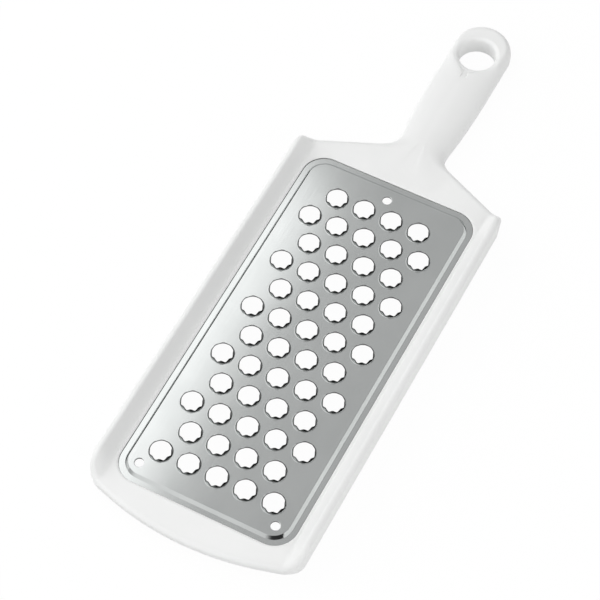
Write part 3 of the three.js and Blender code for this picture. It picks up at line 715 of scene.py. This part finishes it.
# Back frame
def make_back_frame(material):
    hole = PIN_DIAMETER + 2 * PIN_GAP
    sunk = PIN_HEAD_DIAMETER + 2 * PIN_GAP
    obj = prism(rounded_rectangle(WINDOW, FLANGE_GRIP), RING_BOTTOM, RING_TOP)
    obj.name = "back_shell"
    combine(obj, prism(rounded_rectangle(WINDOW, RING_SETBACK), CUT_START, FACE_HEIGHT), "DIFFERENCE")
    combine(obj, prism(wall_outline(0), 0, RING_TOP), "UNION")
    combine(obj, prism(cover_outline(COVER_RIM, WALL_Y), 0, COVER_THICKNESS), "UNION")
    clean(obj)
    bevel(obj, BACK_BEVEL)
    for x, y in ring_pins():
        combine(obj, rod(x, y, hole, CUT_START, FACE_HEIGHT), "DIFFERENCE")
    for x, y in cover_pins():
        combine(obj, rod(x, y, hole, CUT_START, FACE_HEIGHT), "DIFFERENCE")
        combine(obj, rod(x, y, sunk, CUT_START, PIN_HEAD_HEIGHT + 2 * SEAT_GAP), "DIFFERENCE")
    clean(obj)
    finish_piece(obj, material, "back_frame", BACK_SHARP_ANGLE)


# Grating plate
class Skin:
    """Rings of points joined by strips, and sheets with holes between rings."""

    def __init__(self):
        self.points = []
        self.shades = []
        self.faces = []

    def ring(self, plan, height, shade=0):
        """A row of points, with the share of painted shade on the metal there."""
        first = len(self.points)
        self.points.extend(with_height(plan, height).tolist())
        self.shades.extend(np.broadcast_to(shade, len(plan)).tolist())
        return list(range(first, len(self.points)))

    def chain(self, rings):
        for inner, outer in zip(rings, rings[1:]):
            for i in range(len(inner)):
                n = (i + 1) % len(inner)
                self.faces.append((inner[n], inner[i], outer[i], outer[n]))

    def sheet(self, contour, holes, facing_up):
        """Triangles between an outer ring and the rings of the holes, all at one height."""
        ids = contour + [i for hole in holes for i in hole]
        hole_of = {i: k for k, hole in enumerate(holes) for i in hole}
        flat = [Vector(self.points[i][:2]) for i in ids]
        sides = []
        first = 0
        for ring in [contour] + holes:
            count = len(ring)
            sides += [(first + i, first + (i + 1) % count) for i in range(count)]
            first += count
        result = delaunay_2d_cdt(flat, sides, [], SHEET_INSIDE_ONLY, SHEET_MERGE_DISTANCE)
        triangles, origin = result[2:4]
        for triangle in triangles:
            corners = [ids[origin[i][0]] for i in triangle]
            touched = {hole_of.get(i) for i in corners}
            if len(touched) > 1 or None in touched:
                self.faces.append(tuple(corners) if facing_up else tuple(reversed(corners)))


def crown_places():
    places = []
    for row in range(ROW_COUNT):
        count = HOLES_IN_SECOND_ROW if row % 2 else HOLES_IN_FIRST_ROW
        places += [((i - (count - 1) / 2) * HOLE_PITCH, row * HOLE_PITCH - LAST_ROW_Y) for i in range(count)]
    return places


def pilot_places():
    x, y = PANEL_X - PILOT_FROM_SIDE, PANEL_LOW + PILOT_FROM_LIP_END
    return [(0, PANEL_HIGH - PILOT_FROM_HANDLE_END), (x, y), (-x, y)]


def crown_heights():
    """Angles round a crown, and the height of its edge there: flat teeth between sharp notches."""
    period = 2 * math.pi / CROWN_TEETH
    step = np.arange(CROWN_TEETH * CROWN_STEPS)
    angle = period * step / CROWN_STEPS
    from_notch = np.abs((angle + period / 2) % period - period / 2)
    share = np.clip(from_notch / ((period - TOOTH_TOP_ANGLE) / 2), 0, 1)
    return angle, CROWN_NOTCH_FLOOR + (CROWN_HEIGHT - CROWN_NOTCH_FLOOR) * share


def flare(height):
    """Outer radius of a crown at a height above the panel: a cone with a small bend at its foot."""
    lean = (CROWN_BASE_RADIUS - CROWN_RIM_RADIUS) / CROWN_HEIGHT
    bend = CROWN_BEND * np.exp(-np.asarray(height) / CROWN_BEND_FADE)
    return CROWN_BASE_RADIUS - lean * height + bend


def crown_rings(skin, centre):
    """Upper and lower ring of a crowned hole, with painted dark reflection inside and from half way up to the
    teeth.
    """
    angle, edge = crown_heights()
    direction = np.column_stack([np.cos(angle), np.sin(angle)])

    def ring(radius, height, shade=0):
        reach = np.broadcast_to(radius, len(angle))[:, None]
        return skin.ring(np.asarray(centre) + direction * reach, height, shade)

    under_radius = float(flare(0))
    under = ring(under_radius, PANEL_UNDER)
    rings = [under]
    for share in np.linspace(0, 1, CROWN_ROWS + 1)[1:]:
        height = edge * share ** 2
        wall = CROWN_WALL + (PLATE_THICKNESS - CROWN_WALL) * (1 - share)
        # Painted reflection: each crown's inner wall is dark all over, standing in for the shaded floor below
        rings.append(ring(flare(height) - CROWN_WALL * share, PANEL_TOP + height - wall * (1 - share), 1))
    for share in np.linspace(1, 0, CROWN_ROWS + 1):
        height = edge * share ** 2
        # Painted reflection: the outside of the teeth darkens from half their height up
        rings.append(ring(flare(height), PANEL_TOP + height, max(0, 2 * share ** 2 - 1)))
    top = ring(under_radius + FLAT_RIM, PANEL_TOP)
    skin.chain(rings + [top])
    return top, under


def pilot_rings(skin, centre):
    """Upper and lower ring of a plain hole with painted shade in the bore and a round upper edge."""

    def ring(radius, height, shade=0):
        return skin.ring(arc(centre, radius, 0, 2 * math.pi, 2 * PIN_SIDES), height, shade)

    radius = PILOT_DIAMETER / 2
    middle = PILOT_ROUND * PILOT_ROUND_MIDDLE
    rings = [
        ring(radius + FLAT_RIM, PANEL_UNDER),
        # Painted shade in the bore of the hole
        ring(radius, PANEL_UNDER, 1),
        ring(radius, PANEL_TOP - PILOT_ROUND, 1),
        ring(radius + middle, PANEL_TOP - middle),
        ring(radius + PILOT_ROUND, PANEL_TOP),
        ring(radius + PILOT_ROUND + FLAT_RIM, PANEL_TOP),
    ]
    skin.chain(rings)
    return rings[-1], rings[0]


def step_profile(offset):
    """Margin and fall of the pressed step, from the panel down to the flange."""
    radii = STEP_ROUND + STEP_FOOT_ROUND
    straight = PANEL_RISE - radii * (1 - math.cos(STEP_SLOPE))
    run = radii * math.sin(STEP_SLOPE) + straight / math.tan(STEP_SLOPE)
    turns = np.linspace(0, STEP_SLOPE, STEP_ROWS + 1)
    bend = np.column_stack([np.sin(turns), 1 - np.cos(turns)])
    rows = np.vstack([STEP_ROUND * bend, (run, PANEL_RISE) - STEP_FOOT_ROUND * bend[::-1]])
    return rows + [STEP_START + offset, 0]


def seam_shade(plan):
    """Share of painted shade on the metal at the seam under the frame: all along the sides, none along the
    ends.
    """
    along = np.roll(plan, -1, axis=0) - np.roll(plan, 1, axis=0)
    return along[:, 1] ** 2 / (along ** 2).sum(axis=1)


def make_grating_plate(material):
    """Plate: from the panel over the step to the flange's edge, back underneath, and the holes."""
    skin = Skin()
    upper = step_profile(0)
    lower = step_profile(-PLATE_THICKNESS * math.tan(STEP_SLOPE / 2))
    panel_top = skin.ring(rounded_rectangle(PANEL, upper[0][0] - FLAT_RIM), PANEL_TOP)
    panel_under = skin.ring(rounded_rectangle(PANEL, lower[0][0] - FLAT_RIM), PANEL_UNDER)
    flange = rounded_rectangle(WINDOW, FLANGE_GRIP)
    rings = [panel_top]
    rings += [skin.ring(rounded_rectangle(PANEL, margin), PANEL_TOP - fall) for margin, fall in upper]
    rings += [skin.ring(rounded_rectangle(PANEL, upper[-1][0] + FLAT_RIM), FLANGE_HEIGHT)]
    rings += [skin.ring(rounded_rectangle(WINDOW, -SEAM_WIDTH - FLAT_RIM), FLANGE_HEIGHT)]
    seam = rounded_rectangle(WINDOW, -SEAM_WIDTH)
    # Painted shade: a dark strip on the flange along the window edge, standing in for the shadow gap under
    # the frame
    rings += [skin.ring(seam, FLANGE_HEIGHT, seam_shade(seam))]
    rings += [skin.ring(flange, FLANGE_HEIGHT), skin.ring(flange, FLANGE_UNDER)]
    rings += [skin.ring(rounded_rectangle(PANEL, lower[-1][0] + FLAT_RIM), FLANGE_UNDER)]
    rings += [skin.ring(rounded_rectangle(PANEL, margin), PANEL_UNDER - fall) for margin, fall in lower[::-1]]
    rings += [panel_under]
    skin.chain(rings)
    holes = [crown_rings(skin, place) for place in crown_places()]
    holes += [pilot_rings(skin, place) for place in pilot_places()]
    skin.sheet(panel_top, [top for top, _ in holes], True)
    skin.sheet(panel_under, [under for _, under in holes], False)
    obj = new_object("crowned_plate", skin.points, skin.faces)
    # The attribute carries the painted shade and reflection that darkens the steel's colour
    obj.data.attributes.new("painted_shade", "FLOAT", "POINT").data.foreach_set("value", skin.shades)
    finish_piece(obj, material, "grating_plate", PLATE_SHARP_ANGLE)


# Materials
FRAME_WHITES = ((0.86, 0.865, 0.86), (0.885, 0.89, 0.885))
BACK_WHITES = ((0.84, 0.845, 0.84), (0.87, 0.875, 0.87))
PLASTIC_ROUGHNESS = (0.3, 0.38)
PLASTIC_IOR = 1.5
PLASTIC_TEXTURE_DEPTH = 0.003
STEELS = ((0.67, 0.69, 0.685), (0.705, 0.725, 0.72))
# Steel colour where shade and dark reflections are painted on
PAINTED_SHADE_COLOR = (0.05, 0.05, 0.05, 1)
STEEL_ROUGHNESS = (0.11, 0.135)
STEEL_GRAIN_DEPTH = 0.0004
TINT_SPAN = (0.35, 0.65)
GLOSS_SPAN = (0.3, 0.7)

# Scale and detail of the noise in each finish, and how far the steel's grain is drawn out
PLASTIC_TINT = (30, 3)
PLASTIC_GLOSS = (220, 2)
PLASTIC_TEXTURE = (2500, 2)
STEEL_TINT = (60, 3)
STEEL_GRAIN = (60, 4)
GRAIN_STRETCH = (40, 1, 40)


def node_material(name):
    material = bpy.data.materials.new(name)
    material.use_nodes = True
    nodes = material.node_tree.nodes
    return material, nodes, material.node_tree.links, nodes["Principled BSDF"]


def noise(nodes, links, scale_and_detail, stretch=(1, 1, 1)):
    place = nodes.new("ShaderNodeTexCoord")
    mapping = nodes.new("ShaderNodeMapping")
    mapping.inputs["Scale"].default_value = stretch
    texture = nodes.new("ShaderNodeTexNoise")
    texture.inputs["Scale"].default_value, texture.inputs["Detail"].default_value = scale_and_detail
    links.new(place.outputs["Object"], mapping.inputs["Vector"])
    links.new(mapping.outputs["Vector"], texture.inputs["Vector"])
    return texture.outputs["Fac"]


def tint(nodes, links, factor, colors, target):
    """Colour that wanders between two near ones."""
    ramp = nodes.new("ShaderNodeValToRGB")
    for element, position, color in zip(ramp.color_ramp.elements, TINT_SPAN, colors):
        element.position = position
        element.color = (*color, 1)
    links.new(factor, ramp.inputs["Fac"])
    links.new(ramp.outputs["Color"], target)


def spread(nodes, links, factor, values, target):
    """Number that wanders between two values."""
    reach = nodes.new("ShaderNodeMapRange")
    reach.inputs["From Min"].default_value, reach.inputs["From Max"].default_value = GLOSS_SPAN
    reach.inputs["To Min"].default_value, reach.inputs["To Max"].default_value = values
    links.new(factor, reach.inputs["Value"])
    links.new(reach.outputs["Result"], target)


def relief(nodes, links, factor, depth, target):
    bump = nodes.new("ShaderNodeBump")
    bump.inputs["Strength"].default_value = 1
    bump.inputs["Distance"].default_value = depth * MM
    links.new(factor, bump.inputs["Height"])
    links.new(bump.outputs["Normal"], target)


def white_plastic(name, whites):
    """Moulded plastic: even white, satin gloss and a hair-fine texture from the mould."""
    material, nodes, links, shader = node_material(name)
    cloud = noise(nodes, links, PLASTIC_TINT)
    tint(nodes, links, cloud, whites, shader.inputs["Base Color"])
    gloss = noise(nodes, links, PLASTIC_GLOSS)
    spread(nodes, links, gloss, PLASTIC_ROUGHNESS, shader.inputs["Roughness"])
    texture = noise(nodes, links, PLASTIC_TEXTURE)
    relief(nodes, links, texture, PLASTIC_TEXTURE_DEPTH, shader.inputs["Normal"])
    shader.inputs["IOR"].default_value = PLASTIC_IOR
    return material


def satin_steel(name):
    """Rolled stainless steel: faint grain along the plate, a satin shine, and painted shade and dark
    reflections in the holes, on the teeth and at the seam.
    """
    material, nodes, links, shader = node_material(name)
    shader.inputs["Metallic"].default_value = 1
    color = nodes.new("ShaderNodeMix")
    color.data_type = "RGBA"
    tint(nodes, links, noise(nodes, links, STEEL_TINT), STEELS, color.inputs["A"])
    # Painted shade: the steel's colour turns dark where the attribute is high
    color.inputs["B"].default_value = PAINTED_SHADE_COLOR
    painted_shade = nodes.new("ShaderNodeAttribute")
    painted_shade.attribute_name = "painted_shade"
    links.new(painted_shade.outputs["Fac"], color.inputs["Factor"])
    links.new(color.outputs["Result"], shader.inputs["Base Color"])
    grain = noise(nodes, links, STEEL_GRAIN, GRAIN_STRETCH)
    spread(nodes, links, grain, STEEL_ROUGHNESS, shader.inputs["Roughness"])
    relief(nodes, links, grain, STEEL_GRAIN_DEPTH, shader.inputs["Normal"])
    return material


# Studio
CAMERA_PLACE = Vector((0.242781, -0.472081, 0.825357))
CAMERA_AIM = Vector((-0.008894, -0.022479, 0.010))
CAMERA_ROLL = math.radians(-1.6717)
CAMERA_LENS = 149.02
CAMERA_SENSOR = 36
CAMERA_RANGE = 50
FLOOR_SIZE = 12
FLOOR_GLOW = 0.96
FLOOR_WHITE = 0.7
LOW_SKY = 0.03
BACK_SKY = 0.51
FRONT_SKY = 1.0
HORIZON_SKY = 0.45
RISE_DIRECTION = (-0.9, 0.1, 1.0)
RISE_SPAN = (0.15, 0.68)
FRONT_DIRECTION = (0.6, -0.7, 0)
FRONT_SPAN = (0.0, 0.5)
HORIZON_SPAN = (0.22, 0.38)
UP = (0, 0, 1)
KEY_UPPER = Vector((-0.34, 0, 1.0))
KEY_LOWER = Vector((-0.704, 0, 0.648))
SPREAD_LOWER = Vector((-1.25, 0, 0.12))
KEY_SHIFT = Vector((0, -0.1075, 0))
KEY_WIDTH = 1.485
KEY_LIGHT = 0.95
KEY_SPREAD = 1.55
FILL_PLACE = Vector((1.18, -0.5, 0.84))
FILL_SIZE = 1.2
FILL_LIGHT = 2.5


def make_camera():
    data = bpy.data.cameras.new("camera")
    data.lens = CAMERA_LENS
    data.sensor_width = CAMERA_SENSOR
    data.clip_end = CAMERA_RANGE
    camera = linked("camera", data)
    camera.location = CAMERA_PLACE
    camera.rotation_mode = "QUATERNION"
    level = (CAMERA_AIM - CAMERA_PLACE).to_track_quat("-Z", "Y")
    camera.rotation_quaternion = level @ Quaternion((0, 0, 1), CAMERA_ROLL)
    bpy.context.scene.camera = camera


def larger(nodes, links, first, second):
    """The larger of two numbers."""
    choice = nodes.new("ShaderNodeMath")
    choice.operation = "MAXIMUM"
    links.new(first, choice.inputs[0])
    links.new(second, choice.inputs[1])
    return choice.outputs[0]


def floor_paint():
    """White that looks even to the camera and in reflections, and keeps a faint shadow."""
    material = bpy.data.materials.new("white_floor")
    material.use_nodes = True
    nodes, links = material.node_tree.nodes, material.node_tree.links
    nodes.clear()
    path = nodes.new("ShaderNodeLightPath").outputs
    seen = larger(nodes, links, path["Is Camera Ray"], path["Is Glossy Ray"])
    shown = larger(nodes, links, seen, path["Is Transmission Ray"])
    paint = nodes.new("ShaderNodeBsdfDiffuse")
    paint.inputs["Color"].default_value = (FLOOR_WHITE, FLOOR_WHITE, FLOOR_WHITE, 1)
    shadow = nodes.new("ShaderNodeBsdfDiffuse")
    rest = 1 - FLOOR_GLOW
    shadow.inputs["Color"].default_value = (rest, rest, rest, 1)
    glow = nodes.new("ShaderNodeEmission")
    glow.inputs["Strength"].default_value = FLOOR_GLOW
    white = nodes.new("ShaderNodeAddShader")
    links.new(shadow.outputs[0], white.inputs[0])
    links.new(glow.outputs[0], white.inputs[1])
    choice = nodes.new("ShaderNodeMixShader")
    links.new(shown, choice.inputs[0])
    links.new(paint.outputs[0], choice.inputs[1])
    links.new(white.outputs[0], choice.inputs[2])
    output = nodes.new("ShaderNodeOutputMaterial")
    links.new(choice.outputs[0], output.inputs["Surface"])
    return material


def make_floor():
    half = FLOOR_SIZE / 2
    corners = [(-half, -half, 0), (half, -half, 0), (half, half, 0), (-half, half, 0)]
    mesh = bpy.data.meshes.new("floor")
    mesh.from_pydata(corners, [], [(0, 1, 2, 3)])
    mesh.materials.append(floor_paint())
    floor = linked("floor", mesh)


def ramp_across(nodes, links, direction, span, values):
    """Number that changes smoothly from one value to another with the direction of the sky."""
    place = nodes.new("ShaderNodeTexCoord")
    lean = nodes.new("ShaderNodeVectorMath")
    lean.operation = "DOT_PRODUCT"
    lean.inputs[1].default_value = direction
    links.new(place.outputs["Generated"], lean.inputs[0])
    level = nodes.new("ShaderNodeMapRange")
    level.interpolation_type = "SMOOTHSTEP"
    level.inputs["From Min"].default_value, level.inputs["From Max"].default_value = span
    level.inputs["To Min"].default_value, level.inputs["To Max"].default_value = values
    links.new(lean.outputs["Value"], level.inputs["Value"])
    return level.outputs["Result"]


def make_world():
    """Studio with a pale horizon, a dark band above it on the right, and a sky lighter to the front right."""
    world = bpy.data.worlds.new("studio")
    bpy.context.scene.world = world
    world.use_nodes = True
    nodes, links = world.node_tree.nodes, world.node_tree.links
    above = ramp_across(nodes, links, RISE_DIRECTION, RISE_SPAN, (0, 1))
    skies = (BACK_SKY - LOW_SKY, FRONT_SKY - LOW_SKY)
    sky = ramp_across(nodes, links, FRONT_DIRECTION, FRONT_SPAN, skies)
    strength = nodes.new("ShaderNodeMath")
    strength.operation = "MULTIPLY_ADD"
    links.new(above, strength.inputs[0])
    links.new(sky, strength.inputs[1])
    strength.inputs[2].default_value = LOW_SKY
    horizon = ramp_across(nodes, links, UP, HORIZON_SPAN, (HORIZON_SKY, 0))
    lighter = larger(nodes, links, strength.outputs[0], horizon)
    links.new(lighter, nodes["Background"].inputs["Strength"])
    nodes["Background"].inputs["Color"].default_value = (1, 1, 1, 1)


def make_softbox(name, place, aim, width, height, radiance, in_reflections):
    """Rectangular lamp of an even brightness, given as its radiance."""
    data = bpy.data.lights.new(name, "AREA")
    data.shape = "RECTANGLE"
    data.size = width
    data.size_y = height
    data.energy = radiance * math.pi * width * height
    lamp = linked(name, data)
    lamp.location = place
    lamp.rotation_mode = "QUATERNION"
    lamp.rotation_quaternion = (aim - place).to_track_quat("-Z", "Y")
    lamp.visible_glossy = in_reflections


def make_lights():
    """Key softbox high on the left, whose upper edge shades off in the plate. A larger lamp in its plane and
    a fill from the right light the plastic and stay out of reflections."""
    rise = KEY_UPPER - KEY_LOWER
    facing = Vector((rise.z, 0, -rise.x))
    for name, lower, radiance, in_reflections in (
        ("key", KEY_LOWER, KEY_LIGHT, True),
        ("key_spread", SPREAD_LOWER, KEY_SPREAD, False),
    ):
        middle = (KEY_UPPER + lower) / 2 + KEY_SHIFT
        height = (KEY_UPPER - lower).length
        make_softbox(name, middle, middle + facing, KEY_WIDTH, height, radiance, in_reflections)
    make_softbox("fill", FILL_PLACE, Vector(), FILL_SIZE, FILL_SIZE, FILL_LIGHT, False)


plastic = white_plastic("frame_white", FRAME_WHITES)
back_plastic = white_plastic("back_white", BACK_WHITES)
steel = satin_steel("plate_satin")
make_front_frame(plastic)
make_stake_pins(plastic)
make_back_frame(back_plastic)
make_grating_plate(steel)
make_camera()
make_floor()
make_world()
make_lights()
bpy.context.scene.view_settings.view_transform = "Standard"
